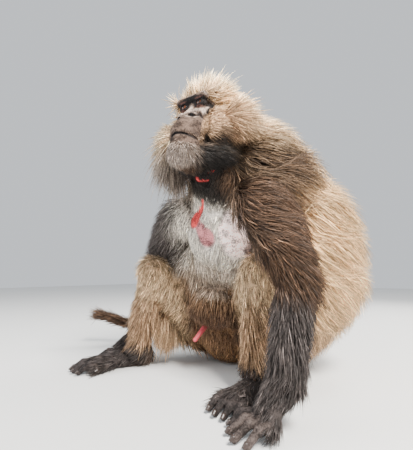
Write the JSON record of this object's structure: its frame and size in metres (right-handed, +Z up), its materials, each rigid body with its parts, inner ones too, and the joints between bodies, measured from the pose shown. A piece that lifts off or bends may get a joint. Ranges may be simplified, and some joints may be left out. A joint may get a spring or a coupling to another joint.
{
  "type": "seated gelada figure",
  "caption": "Life-size still model of a seated male gelada with a long mane and cape, propped on its left hand, for display.",
  "frame": {"origin": "centre of the bounding box's base, on the floor the animal sits on", "axes": "+Z up, -Y the way the animal faces, +X its own left side"},
  "size_m": [0.9318, 0.6464, 0.7421],
  "materials": {
    "coat": "long fur, brown with cream ends",
    "dark_skin": "bare dark skin",
    "pink_skin": "bare red and pink skin",
    "eye": "wet gloss"
  },
  "bodies": {
    "root": {"head": "coat", "neck": "coat", "torso_upper": "coat", "torso_lower": "coat", "tail_root": "coat", "tail_middle": "coat", "tail_end": "coat", "tail_tuft": "coat", "upper_arm_left": "coat", "forearm_left": "coat", "thigh_left": "coat", "shank_left": "coat", "upper_arm_right": "coat", "forearm_right": "coat", "thigh_right": "coat", "shank_right": "coat", "hand_left": "dark_skin", "foot_left": "dark_skin", "ear_left": "dark_skin", "hand_right": "dark_skin", "foot_right": "dark_skin", "ear_right": "dark_skin", "eye_left": "eye", "eye_right": "eye", "organ": "pink_skin", "chest_patch": "pink_skin"}
  },
  "joints": []
}
